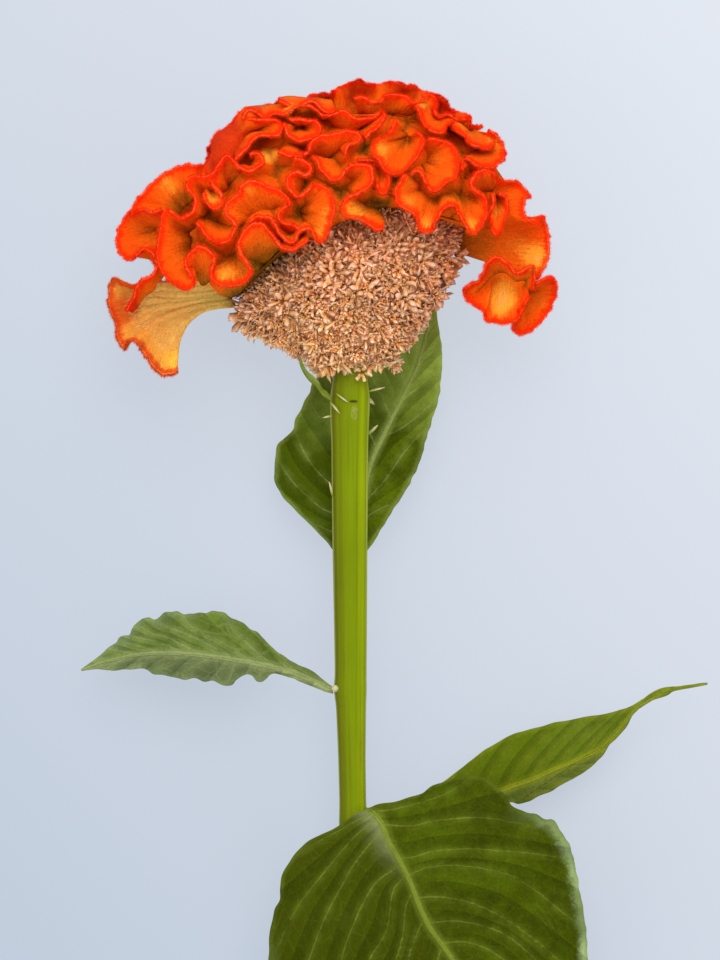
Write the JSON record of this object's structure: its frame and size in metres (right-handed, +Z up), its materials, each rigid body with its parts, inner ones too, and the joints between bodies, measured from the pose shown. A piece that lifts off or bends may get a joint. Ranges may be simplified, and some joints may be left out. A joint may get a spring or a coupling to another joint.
{
  "type": "cockscomb flower",
  "caption": "Cut cockscomb stem lying down: ruffled crest over a dense floret head, ribbed stem and waved leaves.",
  "frame": {"origin": "on the table, at the middle of the lying plant's length and width", "axes": "+Y up the stem toward the crest, +Z up from the table, out of the face of the crest, +X to the right seen from above"},
  "size_m": [0.1694, 0.2868, 0.0548],
  "materials": {
    "comb": "matte",
    "florets": "matte",
    "stem": "satin",
    "upper_leaf": "satin",
    "pale_leaf": "satin",
    "dark_leaf": "satin"
  },
  "bodies": {
    "root": {"comb": "comb", "florets": "florets", "stem": "stem", "neck_leaflet": "upper_leaf", "leaf_behind": "upper_leaf", "leaf_left": "pale_leaf", "leaf_right": "upper_leaf", "leaf_front": "dark_leaf"}
  },
  "joints": []
}
